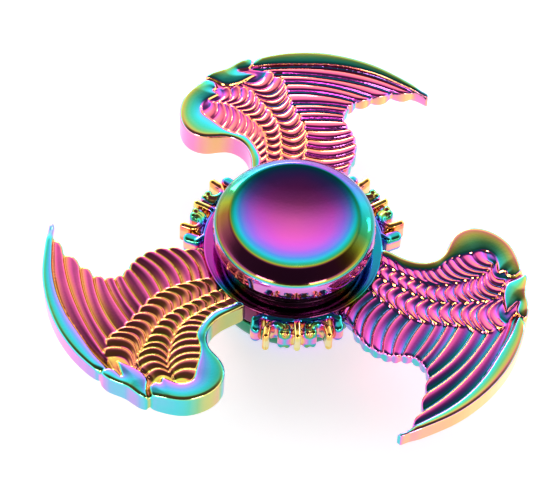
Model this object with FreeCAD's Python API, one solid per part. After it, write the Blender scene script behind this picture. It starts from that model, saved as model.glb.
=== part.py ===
import FreeCAD, Part
import math
import os

from FreeCAD import Vector

# Three-winged fidget spinner, in millimetres. The spin axis is Z and the origin is the centre
# of the bearing, half way between the two thumb caps. Both faces of the spinner are alike.

# ---- ball bearing, metric size 608 with a riveted ribbon cage and removable shields
BORE_R = 4.0
BEARING_R = 11.0
BEARING_HALF = 3.5
PITCH_R = 7.5
BALL_R = 1.9845
BALLS = 7
GROOVE_R = BALL_R + 0.055
INNER_SHOULDER_R = 6.05
OUTER_SHOULDER_R = 8.95
RACE_CHAMFER = 0.25

STRIP = 0.35
POCKET_R = BALL_R + 0.10
CAGE_IN_R = PITCH_R - 0.75
CAGE_OUT_R = PITCH_R + 0.75
RIVET_R = 0.30
RIVET_HEAD_R = 0.55
RIVET_HEAD = 0.22

SHIELD = 0.30
SHIELD_SEAT_Z = 2.75
SHIELD_STEP = 0.15
SHIELD_IN_R = INNER_SHOULDER_R + 0.30
SHIELD_OUT_R = 10.0
SNAP_IN_R = 9.35
SNAP_OUT_R = 10.25
SNAP = 0.25
SNAP_GAP_DEG = 24.0

# ---- thumb caps, and the threaded stud that draws them together through the bearing
CAP_R = 12.5
CAP_UNDER_Z = 4.6
CAP_WALL_Z = 8.0
CAP_RIM_Z = 9.4
CAP_EDGE = 0.35
RIM_IN_R = 9.7
RIM_OUT_R = 10.1
DISH_DEPTH = 1.5
BOSS_R = 5.6
POST_R = BORE_R - 0.03
POST_END_Z = 0.05
STUD_R = 2.5
STUD_HOLE_Z = 6.2
STUD_HALF = 6.0
SOCKET_FLATS = 2.5
SOCKET_DEPTH = 2.4
STUD_CHAMFER = 0.4

# ---- cast frame: hub ring, three wings and three crest ornaments
ARMS = 3
ARM_STEP_DEG = 360.0 / ARMS
RING_R = 13.83
RING_HALF = 1.9
RING_EDGE = 0.35
BORE_LIP = 0.15

# Half thicknesses of the wing, from the thin flight feathers up to the armour on its shoulder.
FEATHER_HALF = 1.15
ROW_HALVES = (1.45, 1.7, 1.95)
QUILL_HALF = 1.9
COLLAR_HALF = 2.35
SHOULDER_HALF = 2.5
GROOVE_DEPTH = 0.4
GROOVE_HALF_WIDTH = 0.16
GROOVE_OVERRUN = 0.6

# Wing outline, seen from above with the wing pointing along +Y and its tip swept to +X.
# The armoured leading edge is three smooth stretches that meet at two small nicks.
SHOULDER_EDGE = [(-7.0, 11.6), (-7.2, 14.0), (-7.5, 16.6), (-9.0, 19.2), (-11.5, 20.2), (-14.5, 19.75),
                 (-17.3, 20.5), (-18.9, 22.8), (-19.2, 25.4), (-18.6, 27.9), (-17.2, 30.0), (-16.0, 31.4)]
SHOULDER_NICK = (-15.4, 31.8)
COLLAR_EDGE = [(-15.7, 32.4), (-14.2, 33.6), (-12.4, 34.4), (-10.8, 35.7), (-8.6, 36.8)]
COLLAR_NICK = (-8.0, 36.7)
QUILL_EDGE = [(-7.6, 37.15), (-4.0, 38.4), (0.0, 39.05), (4.0, 39.0), (8.0, 38.3), (12.0, 36.95),
              (16.0, 34.8), (20.45, 32.0)]
TIP_END = (20.75, 31.5)
TIP_BACK = (20.2, 31.1)

# Where neighbouring flight feathers meet on the trailing edge, from the tip back to the hub.
FEATHER_ENDS = [(18.0, 32.6), (14.4, 32.2), (11.3, 30.9), (8.7, 29.9), (7.5, 28.6), (6.95, 27.2),
                (6.85, 25.9), (7.6, 24.4), (8.5, 23.2), (8.9, 21.6), (9.0, 19.7), (8.5, 17.6), (7.4, 15.6)]
FEATHER_BULGE = 0.16
ROOT_CORNER = (5.8, 11.6)

# The line between two flight feathers starts under the coverts and passes one middle point.
FEATHER_STARTS = [(-4.4, 34.6), (-3.0, 32.9), (-2.9, 30.9), (-2.2, 28.5), (-1.2, 27.0), (-0.3, 25.5),
                  (0.5, 23.8), (0.8, 22.0), (0.8, 20.3), (0.7, 18.6), (0.6, 17.0), (0.3, 15.5)]
FEATHER_MIDDLES = [(6.0, 34.35), (4.0, 32.9), (3.0, 31.15), (3.0, 28.9), (3.0, 27.5), (3.2, 25.9),
                   (4.2, 23.8), (5.0, 21.9), (5.0, 20.0), (5.0, 18.1), (4.4, 16.2), (4.0, 14.7)]

# Outer edge of each row of covert feathers, from the row next to the flight feathers inwards.
COVERT_ROWS = [
    [(-8.0, 34.2), (-4.4, 34.6), (-2.9, 31.5), (-1.2, 27.0), (0.7, 22.5), (0.7, 17.5), (0.0, 11.6)],
    [(-9.5, 31.8), (-7.2, 28.6), (-4.4, 24.2), (-3.1, 21.2), (-2.8, 17.5), (-2.6, 11.6)],
    [(-11.3, 31.2), (-9.8, 26.4), (-6.9, 22.6), (-5.4, 19.5), (-5.0, 15.5), (-4.9, 11.6)],
]
COVERT_CORNERS = [(-25.0, 11.6), (-25.0, 34.2)]

# Inner edge of each armour plate, then a far corner or two that lie outside the outline.
SHOULDER_PLATE = [(-5.7, 11.6), (-5.8, 14.5), (-6.3, 17.5), (-8.3, 20.6), (-11.2, 21.6), (-13.9, 23.4),
                  (-15.5, 25.3), (-15.0, 27.2), (-13.2, 28.9)]
SHOULDER_PLATE_END = [(-14.0, 30.2), (-14.1, 31.2), (-15.5, 31.5), (-25.0, 34.6), (-25.0, 11.6)]
COLLAR_PLATE = [(-13.8, 31.6), (-12.4, 30.9), (-10.6, 31.3), (-7.4, 33.5)]
COLLAR_PLATE_END = [(-10.2, 34.1), (-8.6, 34.9), (-8.35, 36.0), (-8.35, 42.0), (-25.0, 42.0), (-15.2, 32.1)]
QUILL_PLATE = [(-8.2, 35.3), (-4.0, 36.2), (0.0, 36.6), (4.0, 36.6), (8.0, 36.2), (12.0, 35.2), (15.6, 33.7),
               (18.0, 32.6)]
QUILL_PLATE_END = [(19.5, 30.0), (24.0, 30.0), (24.0, 42.0), (-8.0, 42.0), (-8.0, 36.7)]

# Crest ornament, drawn pointing along +Y and mirrored left to right.
CREST_PHASE_DEG = 34.9
CREST_HALF = 1.5
CREST_BAND = (13.4, 14.25, 25.0)
SPIKE = [(0.5, 13.4), (0.33, 15.6), (0.38, 17.4)]
BLADE = [(0.45, 15.6), (1.15, 15.3), (1.2, 17.0), (0.5, 17.0)]
BLOCK = [(1.05, 15.1), (2.6, 14.8), (2.75, 16.5), (1.15, 16.8)]
BLOCK_STEM = [(1.5, 13.6), (2.5, 13.6), (2.5, 15.2), (1.5, 15.2)]
BEADS = [(1.5, 16.65), (2.35, 16.5)]
BEAD_R = 0.45
HOOK_CENTRE = (3.35, 15.75)
HOOK_R = (0.95, 1.6)
HOOK_LEG = [(4.3, 15.0), (4.95, 14.9), (5.15, 17.1), (4.65, 17.2)]
HOOK_STEM = [(3.4, 13.2), (5.6, 12.6), (5.3, 14.7), (3.2, 14.7)]
LEAF = [(5.3, 12.6), (6.6, 12.1), (6.9, 15.2), (5.5, 15.6)]
LEAF_TIP = (6.2, 15.3)
LEAF_TIP_R = 0.78


def write(node, shape):
    """Write one node's shape to its own STEP file, after checking that it is sound."""
    if not shape.isValid():
        raise ValueError(node + " is not a valid shape")
    for solid in shape.Solids:
        if solid.Volume <= 0:
            raise ValueError(node + " has an empty solid")
    shape.exportStep(os.path.join("parts", node + ".step"))
    print(node, len(shape.Solids), round(shape.Volume, 2))


def flat(point, z=0.0):
    return Vector(point[0], point[1], z)


def polyline(points):
    """Straight edges through the points, in order."""
    return [Part.LineSegment(flat(a), flat(b)).toShape() for a, b in zip(points, points[1:])]


def spline(points):
    """One smooth edge through the points."""
    curve = Part.BSplineCurve()
    curve.interpolate([flat(p) for p in points])
    return curve.toShape()


def arc(start, middle, end):
    return Part.Arc(flat(start), flat(middle), flat(end)).toShape()


def slab(edges, half):
    """Flat plate inside the closed loop of edges, reaching half above and below Z = 0."""
    face = Part.Face(Part.Wire(edges))
    face.translate(Vector(0, 0, -half))
    return face.extrude(Vector(0, 0, 2 * half))


def lathe(profile, turn=360.0):
    """Solid of revolution about Z of a closed profile of (radius, height) corners."""
    corners = [Vector(r, 0, z) for r, z in profile]
    face = Part.Face(Part.makePolygon(corners + corners[:1]))
    return face.revolve(Vector(0, 0, 0), Vector(0, 0, 1), turn)


def flipped(shape):
    """The same piece for the other face of the spinner."""
    turned = shape.copy()
    turned.rotate(Vector(0, 0, 0), Vector(1, 0, 0), 180.0)
    return turned


def turned_by(shape, degrees):
    copy = shape.copy()
    copy.rotate(Vector(0, 0, 0), Vector(0, 0, 1), degrees)
    return copy


def tube(inner_r, outer_r, low, high):
    size = high - low
    outer = Part.makeCylinder(outer_r, size, Vector(0, 0, low))
    return outer.cut(Part.makeCylinder(inner_r, size, Vector(0, 0, low)))


# ---------------------------------------------------------------------------- ball bearing
def ball_angle(index):
    return 360.0 / BALLS * index


def on_pitch(degrees):
    angle = math.radians(degrees)
    return Vector(PITCH_R * math.cos(angle), PITCH_R * math.sin(angle), 0)


def inner_race():
    c = RACE_CHAMFER
    h = BEARING_HALF
    ring = lathe([(BORE_R + c, -h), (INNER_SHOULDER_R, -h), (INNER_SHOULDER_R, h), (BORE_R + c, h),
                  (BORE_R, h - c), (BORE_R, c - h)])
    return ring.cut(Part.makeTorus(PITCH_R, GROOVE_R))


def outer_race():
    """Outer ring with its ball groove, and on each face a seat and a groove for shield and snap ring."""
    c = RACE_CHAMFER
    h = BEARING_HALF
    seat = SHIELD_SEAT_Z
    snap_low = seat + SHIELD
    snap_high = snap_low + SNAP
    upper = [(SHIELD_OUT_R, seat), (SHIELD_OUT_R, snap_low), (SNAP_OUT_R, snap_low),
             (SNAP_OUT_R, snap_high), (SHIELD_OUT_R, snap_high), (SHIELD_OUT_R, h),
             (BEARING_R - c, h), (BEARING_R, h - c)]
    lower = [(r, -z) for r, z in reversed(upper)]
    ring = lathe([(OUTER_SHOULDER_R, -seat), (OUTER_SHOULDER_R, seat)] + upper + lower)
    return ring.cut(Part.makeTorus(PITCH_R, GROOVE_R))


def ball(index):
    return Part.makeSphere(BALL_R, on_pitch(ball_angle(index)))


def rivet_angles():
    return [ball_angle(i + 0.5) for i in range(BALLS)]


def cage_half():
    """Upper half of the pressed ribbon cage: flat lands joined by a domed pocket over each ball."""
    band = tube(CAGE_IN_R, CAGE_OUT_R, 0.0, POCKET_R + STRIP)
    half = tube(CAGE_IN_R, CAGE_OUT_R, 0.0, STRIP)
    for i in range(BALLS):
        dome = Part.makeSphere(POCKET_R + STRIP, on_pitch(ball_angle(i)))
        half = half.fuse(dome.common(band))
    for i in range(BALLS):
        half = half.cut(Part.makeSphere(POCKET_R, on_pitch(ball_angle(i))))
    for angle in rivet_angles():
        half = half.cut(Part.makeCylinder(RIVET_R, 2 * STRIP, on_pitch(angle) - Vector(0, 0, STRIP / 2)))
    return half.removeSplitter()


def cage_rivets():
    """One headed rivet through both cage halves between each pair of balls."""
    top = STRIP + RIVET_HEAD
    rivet = lathe([(0, -top), (RIVET_HEAD_R * 0.7, -top), (RIVET_HEAD_R, -STRIP), (RIVET_R, -STRIP),
                   (RIVET_R, STRIP), (RIVET_HEAD_R, STRIP), (RIVET_HEAD_R * 0.7, top), (0, top)])
    rivets = []
    for angle in rivet_angles():
        placed = rivet.copy()
        placed.translate(on_pitch(angle))
        rivets.append(placed)
    return Part.makeCompound(rivets)


def shield():
    """Pressed washer whose middle is raised a little above its flange."""
    low = SHIELD_SEAT_Z
    high = low + SHIELD
    step = SHIELD_STEP
    bend_in = SNAP_IN_R - 0.35
    bend_out = SNAP_IN_R - 0.1
    return lathe([(SHIELD_IN_R, low + step), (bend_in, low + step), (bend_out, low), (SHIELD_OUT_R, low),
                  (SHIELD_OUT_R, high), (bend_out, high), (bend_in, high + step), (SHIELD_IN_R, high + step)])


def snap_ring():
    """Flat open ring that holds the shield in its seat."""
    low = SHIELD_SEAT_Z + SHIELD
    high = low + SNAP
    return lathe([(SNAP_IN_R, low), (SNAP_OUT_R, low), (SNAP_OUT_R, high), (SNAP_IN_R, high)],
                 360.0 - SNAP_GAP_DEG)


# ------------------------------------------------------------------------------ thumb caps
def thumb_cap():
    """Dished finger pad with a boss that bears on the inner race and a post inside its bore."""
    dish_z = CAP_RIM_Z - DISH_DEPTH
    dish_r = (RIM_IN_R ** 2 + DISH_DEPTH ** 2) / (2 * DISH_DEPTH)
    half_way = RIM_IN_R / 2
    dish_mid = dish_z + dish_r - math.sqrt(dish_r ** 2 - half_way ** 2)
    corners = [(0, STUD_HOLE_Z), (STUD_R, STUD_HOLE_Z), (STUD_R, POST_END_Z), (POST_R, POST_END_Z),
               (POST_R, BEARING_HALF), (BOSS_R, BEARING_HALF), (BOSS_R, CAP_UNDER_Z),
               (CAP_R - CAP_EDGE, CAP_UNDER_Z), (CAP_R, CAP_UNDER_Z + CAP_EDGE), (CAP_R, CAP_WALL_Z),
               (RIM_OUT_R, CAP_RIM_Z), (RIM_IN_R, CAP_RIM_Z)]
    points = [Vector(r, 0, z) for r, z in corners]
    centre = Vector(0, 0, dish_z)
    edges = [Part.LineSegment(a, b).toShape() for a, b in zip(points, points[1:])]
    edges.append(Part.Arc(points[-1], Vector(half_way, 0, dish_mid), centre).toShape())
    edges.append(Part.LineSegment(centre, points[0]).toShape())
    face = Part.Face(Part.Wire(edges))
    return face.revolve(Vector(0, 0, 0), Vector(0, 0, 1), 360.0)


def clamp_stud():
    """Headless screw inside both posts, with a hexagon socket in its lower end."""
    c = STUD_CHAMFER
    stud = lathe([(0, -STUD_HALF), (STUD_R - c, -STUD_HALF), (STUD_R, c - STUD_HALF),
                  (STUD_R, STUD_HALF - c), (STUD_R - c, STUD_HALF), (0, STUD_HALF)])
    corner_r = SOCKET_FLATS / math.sqrt(3)
    corners = []
    for i in range(7):
        angle = math.radians(60 * i)
        corners.append(Vector(corner_r * math.cos(angle), corner_r * math.sin(angle), -STUD_HALF))
    socket = Part.Face(Part.makePolygon(corners)).extrude(Vector(0, 0, SOCKET_DEPTH))
    return stud.cut(socket)


# ------------------------------------------------------------------------------ cast frame
def hub_ring():
    e = RING_EDGE
    lip = BORE_LIP
    h = RING_HALF
    return lathe([(BEARING_R + lip, -h), (RING_R - e, -h), (RING_R, e - h), (RING_R, h - e),
                  (RING_R - e, h), (BEARING_R + lip, h), (BEARING_R, h - lip), (BEARING_R, lip - h)])


def feather_end(start, end):
    """Round end of a feather: an arc between two trailing-edge corners, bulging away from the wing."""
    along_x = end[0] - start[0]
    along_y = end[1] - start[1]
    middle = ((start[0] + end[0]) / 2 - FEATHER_BULGE * along_y,
              (start[1] + end[1]) / 2 + FEATHER_BULGE * along_x)
    return arc(start, middle, end)


def wing_outline():
    """Closed loop of edges around one wing, whose root lies inside the hub ring."""
    shoulder, collar, quill = SHOULDER_EDGE, COLLAR_EDGE, QUILL_EDGE
    edges = [spline(shoulder)]
    edges += polyline([shoulder[-1], SHOULDER_NICK, collar[0]])
    edges.append(spline(collar))
    edges += polyline([collar[-1], COLLAR_NICK, quill[0]])
    edges.append(spline(quill))
    edges.append(arc(quill[-1], TIP_END, TIP_BACK))
    edges += polyline([TIP_BACK, FEATHER_ENDS[0]])
    for start, end in zip(FEATHER_ENDS, FEATHER_ENDS[1:]):
        edges.append(feather_end(start, end))
    edges += polyline([FEATHER_ENDS[-1], ROOT_CORNER, shoulder[0]])
    return edges


def raised(inner_edge, corners, half):
    """Part of the wing on the leading side of a smooth inner edge, at its own half thickness."""
    region = slab([spline(inner_edge)] + polyline([inner_edge[-1]] + corners + [inner_edge[0]]), half)
    return slab(wing_outline(), half).common(region)


def groove(start, middle, end):
    """Cutter for the line between two feathers: a narrow curved strip that runs out past the edge."""
    w = GROOVE_HALF_WIDTH
    end = (end[0] + GROOVE_OVERRUN, end[1])
    upper = [(x, y + w) for x, y in (start, middle, end)]
    lower = [(x, y - w) for x, y in (start, middle, end)]
    loop = [arc(*upper), arc(*lower)]
    loop += polyline([upper[0], lower[0]]) + polyline([upper[2], lower[2]])
    strip = Part.Face(Part.Wire(Part.__sortEdges__(loop)))
    top = strip.copy()
    top.translate(Vector(0, 0, FEATHER_HALF - GROOVE_DEPTH))
    return top.extrude(Vector(0, 0, 2 * GROOVE_DEPTH))


def wing():
    """One wing: grooved flight feathers, rising rows of coverts and three armour plates."""
    flight = slab(wing_outline(), FEATHER_HALF)
    for start, middle, end in zip(FEATHER_STARTS, FEATHER_MIDDLES, FEATHER_ENDS[1:]):
        cutter = groove(start, middle, end)
        flight = flight.cut([cutter, flipped_over(cutter)])
    layers = [raised(row, COVERT_CORNERS, half) for row, half in zip(COVERT_ROWS, ROW_HALVES)]
    layers.append(raised(QUILL_PLATE, QUILL_PLATE_END, QUILL_HALF))
    layers.append(raised(COLLAR_PLATE, COLLAR_PLATE_END, COLLAR_HALF))
    layers.append(raised(SHOULDER_PLATE, SHOULDER_PLATE_END, SHOULDER_HALF))
    return flight.fuse(layers)


def flipped_over(shape):
    """Mirror image in the plane Z = 0."""
    return shape.mirror(Vector(0, 0, 0), Vector(0, 0, 1))


def crest():
    """Filigree ornament between two wings, with open gaps beside its central spike."""
    inner_r, outer_r, half_angle = CREST_BAND
    band = tube(inner_r, outer_r, -CREST_HALF, CREST_HALF)
    reach = 2 * outer_r
    side = reach * math.tan(math.radians(half_angle))
    wedge = slab(polyline([(0, 0), (side, reach), (-side, reach), (0, 0)]), CREST_HALF)
    pieces = []
    spike = SPIKE + [(-x, y) for x, y in reversed(SPIKE)]
    pieces.append(slab(polyline(spike + spike[:1]), CREST_HALF))
    for sign in (1, -1):
        for block in (BLADE, BLOCK, BLOCK_STEM, HOOK_LEG, HOOK_STEM, LEAF):
            corners = [(sign * x, y) for x, y in block]
            pieces.append(slab(polyline(corners + corners[:1]), CREST_HALF))
        for x, y in BEADS:
            pieces.append(Part.makeCylinder(BEAD_R, 2 * CREST_HALF, Vector(sign * x, y, -CREST_HALF)))
        x, y = HOOK_CENTRE
        hook = tube(HOOK_R[0], HOOK_R[1], -CREST_HALF, CREST_HALF)
        hook = hook.common(Part.makeBox(2 * HOOK_R[1], HOOK_R[1], 2 * CREST_HALF,
                                        Vector(-HOOK_R[1], -HOOK_R[1], -CREST_HALF)))
        hook.translate(Vector(sign * x, y, 0))
        pieces.append(hook)
        x, y = LEAF_TIP
        pieces.append(Part.makeCylinder(LEAF_TIP_R, 2 * CREST_HALF, Vector(sign * x, y, -CREST_HALF)))
    return band.common(wedge).fuse(pieces)


def wing_frame():
    """The one-piece casting."""
    one_wing = wing()
    one_crest = crest()
    arms = []
    for i in range(ARMS):
        arms.append(turned_by(one_wing, ARM_STEP_DEG * i))
        arms.append(turned_by(one_crest, CREST_PHASE_DEG - 90 + ARM_STEP_DEG * i))
    bore = Part.makeCylinder(BEARING_R, 20, Vector(0, 0, -10))
    frame = hub_ring().fuse(arms)
    return frame.cut(bore).removeSplitter()


def main():
    os.makedirs("parts", exist_ok=True)
    write("wing_frame", wing_frame())
    write("bearing_outer_race", outer_race())
    write("bearing_inner_race", inner_race())
    for i in range(BALLS):
        write("bearing_ball_%d" % (i + 1), ball(i))
    write("cage_half_upper", cage_half())
    write("cage_half_lower", flipped_over(cage_half()))
    write("cage_rivets", cage_rivets())
    write("shield_upper", shield())
    write("shield_lower", flipped(shield()))
    write("snap_ring_upper", snap_ring())
    write("snap_ring_lower", flipped(snap_ring()))
    write("thumb_cap_upper", thumb_cap())
    write("thumb_cap_lower", flipped(thumb_cap()))
    write("clamp_stud", clamp_stud())


main()
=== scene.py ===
import itertools
import math

import bpy
import numpy as np
from mathutils import Matrix, Vector


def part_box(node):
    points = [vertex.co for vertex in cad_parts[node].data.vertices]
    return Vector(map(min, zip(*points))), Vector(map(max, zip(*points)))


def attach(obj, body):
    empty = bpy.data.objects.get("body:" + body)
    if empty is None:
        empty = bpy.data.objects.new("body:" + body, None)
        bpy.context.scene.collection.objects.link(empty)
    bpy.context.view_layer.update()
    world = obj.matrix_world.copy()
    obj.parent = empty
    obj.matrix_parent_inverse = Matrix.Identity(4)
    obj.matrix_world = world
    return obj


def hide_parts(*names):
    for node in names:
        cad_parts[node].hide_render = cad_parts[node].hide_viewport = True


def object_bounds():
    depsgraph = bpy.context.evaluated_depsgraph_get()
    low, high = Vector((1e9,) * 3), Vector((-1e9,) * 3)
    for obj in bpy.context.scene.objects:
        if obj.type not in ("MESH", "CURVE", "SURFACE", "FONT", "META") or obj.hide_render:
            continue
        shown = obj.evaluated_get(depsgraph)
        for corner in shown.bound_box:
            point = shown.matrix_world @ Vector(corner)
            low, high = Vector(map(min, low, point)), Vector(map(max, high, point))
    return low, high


# Three-winged fidget spinner with a mirror-bright rainbow coating. Shapes are drawn in
# millimetres and turned into metres when their meshes are made.

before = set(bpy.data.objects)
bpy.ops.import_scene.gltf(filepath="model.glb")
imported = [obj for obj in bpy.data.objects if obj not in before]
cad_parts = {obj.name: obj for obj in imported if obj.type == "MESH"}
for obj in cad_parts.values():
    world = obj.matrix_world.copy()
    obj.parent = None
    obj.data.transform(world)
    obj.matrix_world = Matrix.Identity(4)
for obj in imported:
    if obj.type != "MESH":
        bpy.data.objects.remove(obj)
CAD_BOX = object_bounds()
MM = 0.001

# ---- sizes that the CAD frame shares
RING_R = 13.83
RING_HALF = 1.9
BEARING_R = 11.0
ARMS = 3
ARM_STEP = 2 * math.pi / ARMS
CREST_PHASE = math.radians(34.9)
CREST_OUT_R = 18.2
CAP_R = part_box("thumb_cap_upper")[1].x / MM
CAP_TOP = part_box("thumb_cap_upper")[1].z / MM
FLOOR_Z = CAD_BOX[0][2]

# ---- wing relief, drawn with the wing pointing along +Y and its tip swept to +X
GRID = 0.16
PLAN_GRID = GRID / 2
PLAN_LOW, PLAN_HIGH = (-20.2, 11.5), (21.6, 40.0)
WING_LOW, WING_HIGH = (-20.1, 11.6), (21.4, 39.8)
WING_TOP = 2.7
ROOT_R = RING_R - 0.3
EDGE_ROUND = 0.52

# The outline is cut just off the casting's middle plane. The cut belongs to this wing just off the
# ring between two bearings, and past two straight limits farther out.
OWN_BEARINGS = (62, 124)
OWN_LEAST_X, OWN_LEAST_Y = -20.5, 11
JUST_OFF = 0.01

# The outline's steps are eased everywhere, and more towards the tip, which is also a little wider
# than the casting's section.
OUTLINE_ROUNDS, TIP_ROUNDS = 12, 20
TIP_START, TIP_LENGTH = 17.0, 2
TIP_CELLS = 4

# Line between the armour on the leading edge and the first flight feather, then the lines
# between flight feathers: each starts under the coverts, passes a middle point and ends on
# the trailing edge.
FLIGHT_LINES = [
    [(-6.6, 35.3), (6.0, 36.55), (18.0, 32.6)],
    [(-4.4, 34.6), (6.0, 34.35), (14.4, 32.2)],
    [(-3.0, 32.9), (4.0, 32.9), (11.3, 30.9)],
    [(-2.9, 30.9), (3.0, 31.15), (8.7, 29.9)],
    [(-2.2, 28.5), (3.0, 28.9), (7.5, 28.6)],
    [(-1.2, 27.0), (3.0, 27.5), (6.95, 27.2)],
    [(-0.3, 25.5), (3.2, 25.9), (6.85, 25.9)],
    [(0.5, 23.8), (4.2, 23.8), (7.6, 24.4)],
    [(0.8, 22.0), (5.0, 21.9), (8.5, 23.2)],
    [(0.8, 20.3), (5.0, 20.0), (8.9, 21.6)],
    [(0.7, 18.6), (5.0, 18.1), (9.0, 19.7)],
    [(0.6, 17.0), (4.4, 16.2), (8.5, 17.6)],
    [(0.3, 15.5), (4.0, 14.7), (7.4, 15.6)],
    [(0.0, 14.0), (3.4, 13.2), (6.0, 13.4)],
]

# Lines between covert feathers, from the far end of the wing to the hub: each starts under
# the tips of the next row inwards and bows out to the tip of its own feather.
INNER_LINES = [
    ((-13.8, 24.1), (-13.5, 27.3)), ((-12.4, 22.7), (-12.5, 27.3)), ((-11.4, 22.3), (-11.5, 27.0)),
    ((-10.1, 21.9), (-10.2, 26.3)), ((-8.9, 21.5), (-9.1, 25.5)), ((-7.8, 20.9), (-7.8, 24.4)),
    ((-6.9, 20.1), (-6.7, 23.4)), ((-6.4, 19.3), (-5.8, 22.3)), ((-5.9, 18.2), (-5.1, 20.9)),
    ((-5.6, 16.9), (-4.8, 19.3)), ((-5.4, 15.4), (-4.7, 17.7)), ((-5.3, 13.9), (-4.6, 16.1)),
]
MIDDLE_LINES = [
    ((-12.7, 27.5), (-11.5, 30.6)), ((-11.8, 27.3), (-10.0, 31.0)), ((-10.9, 26.9), (-8.6, 30.6)),
    ((-10.1, 26.3), (-7.4, 29.6)), ((-9.4, 25.7), (-6.6, 28.3)), ((-8.6, 24.9), (-5.5, 26.9)),
    ((-7.5, 24.0), (-4.4, 25.4)), ((-6.6, 22.9), (-3.6, 24.1)), ((-5.8, 21.6), (-3.1, 22.5)),
    ((-5.2, 20.2), (-2.8, 20.9)), ((-4.8, 18.7), (-2.7, 19.3)), ((-4.6, 17.1), (-2.6, 17.7)),
    ((-4.5, 15.5), (-2.5, 16.1)), ((-4.5, 13.9), (-2.4, 14.5)),
]
OUTER_LINES = [
    ((-9.3, 31.6), (-4.5, 33.8)), ((-8.5, 30.7), (-3.0, 32.8)), ((-7.5, 29.7), (-2.5, 31.5)),
    ((-6.6, 28.3), (-2.2, 30.0)), ((-5.6, 26.8), (-1.6, 28.4)), ((-4.5, 25.3), (-0.8, 26.8)),
    ((-3.6, 23.8), (0.1, 25.2)), ((-3.1, 22.2), (0.8, 23.6)), ((-2.8, 20.6), (1.2, 21.9)),
    ((-2.7, 18.9), (1.3, 20.2)), ((-2.6, 17.2), (1.2, 18.5)), ((-2.5, 15.6), (1.0, 16.9)),
    ((-2.4, 14.0), (0.7, 15.3)), ((-2.3, 12.4), (0.3, 13.7)),
]
INNER_BOW, MIDDLE_BOW, OUTER_BOW = 0.16, 0.28, 0.32

# Inner edges of the three armour plates: smooth stretches that meet at corners.
SHOULDER_PLATE = [
    [(-5.75, 11.0), (-6.0, 14.0), (-5.9, 16.5), (-7.0, 19.0), (-8.5, 20.8), (-10.5, 21.3), (-12.0, 22.0),
     (-14.0, 23.6), (-15.6, 25.0), (-15.4, 27.0), (-13.2, 28.9)],
    [(-13.2, 28.9), (-14.0, 29.6), (-13.6, 30.3), (-14.0, 31.4), (-15.4, 31.8)],
]
COLLAR_PLATE = [
    [(-15.4, 32.3), (-14.2, 31.9), (-12.5, 31.0), (-11.0, 31.2), (-9.5, 32.0), (-7.5, 33.6)],
    [(-7.5, 33.6), (-9.0, 33.9), (-10.3, 34.2), (-8.8, 34.7), (-8.1, 35.6), (-8.3, 37.0)],
]
QUILL_PLATE = [
    [(-8.0, 37.0), (-8.1, 35.5), (-4.5, 36.1), (0.0, 36.5), (4.0, 36.7), (8.0, 36.3), (12.0, 35.2),
     (15.5, 33.6), (19.0, 31.8)],
]
SHOULDER_FAR = [(-16.5, 32.2), (-26.0, 34.6), (-26.0, 11.0)]
COLLAR_FAR = [(-8.3, 42.0), (-26.0, 42.0), (-16.4, 32.4)]
QUILL_FAR = [(24.0, 29.0), (24.0, 42.0), (-8.0, 42.0)]

# Corners behind a row of coverts, under the armour and the thumb cap, and how far every line
# between feathers runs on past both of its ends.
ROW_NEAR_Y = 9.0
ROW_FAR_X, ROW_FAR_Y = -26.0, 36.0
LINE_OVERRUN = 1.5

# Half thicknesses: floor of the lines between feathers, and how far the feathers rise above it.
# The lines between flight feathers are deeper far out than near the hub.
FLIGHT_PLACES = [21.0, 28.0]
FLIGHT_FLOORS, FLIGHT_RISES = [0.80, 0.74], [0.46, 0.54]
OUTER_FLOOR, OUTER_RISE = 1.1, 0.42
MIDDLE_FLOOR, MIDDLE_RISE = 1.35, 0.38
INNER_FLOOR, INNER_RISE = 1.6, 0.32

# A feather's ridge is level between two shares of its width. Coverts swell by SHINGLE towards
# their tips, and the rounded edge of a row starts ROW_STEP below its floor.
RIDGE_START, RIDGE_END = 0.60, 0.84
GENTLE_POWER, STEEP_POWER = 1.5, 2.0
SHINGLE, SHINGLE_REACH = 0.15, 1.2
ROW_STEP = 0.25
TIP_ROUND = 0.35
TIP_REACH = 0.52

# Half thicknesses of the armour plates, how far and over what reach they slope down to their inner
# edges, and how far below the top those rounded edges start.
QUILL_HALF, COLLAR_HALF, SHOULDER_HALF = 1.95, 2.3, 2.5
PLATE_DROP, PLATE_SLOPE = 0.42, 1.8
PLATE_STEP, PLATE_ROUND = 0.8, 0.35


# ----------------------------------------------------------------------------- plane curves
def smooth(points, steps=6):
    """Catmull-Rom curve through the points."""
    p = np.array([points[0]] + list(points) + [points[-1]], float)
    p[0] = 2 * p[1] - p[2]
    p[-1] = 2 * p[-2] - p[-3]
    curve = []
    for a, b, c, d in zip(p, p[1:], p[2:], p[3:]):
        for t in np.arange(steps) / steps:
            curve.append(0.5 * (2 * b + (c - a) * t + (2 * a - 5 * b + 4 * c - d) * t ** 2
                                + (3 * b - a - 3 * c + d) * t ** 3))
    curve.append(p[-2])
    return np.array(curve)


def through(start, middle, end, steps):
    """Parabola from start to end that passes the middle point half way."""
    start, middle, end = (np.array(q, float) for q in (start, middle, end))
    t = np.linspace(0, 1, steps + 1)[:, None]
    pull = 2 * middle - (start + end) / 2
    return (1 - t) ** 2 * start + 2 * t * (1 - t) * pull + t ** 2 * end


def bowed(start, end, bow):
    """Line between two covert feathers, bowed towards the trailing edge and the hub."""
    start, end = np.array(start, float), np.array(end, float)
    along = end - start
    side = np.array([along[1], -along[0]])
    return through(start, (start + end) / 2 + bow * side, end, 10)


def run_on(path, length):
    """The same path with straight ends that run on past both of its ends."""
    first = path[0] - path[1]
    last = path[-1] - path[-2]
    return np.vstack([path[0] + first / np.linalg.norm(first) * length, path,
                      path[-1] + last / np.linalg.norm(last) * length])


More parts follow.
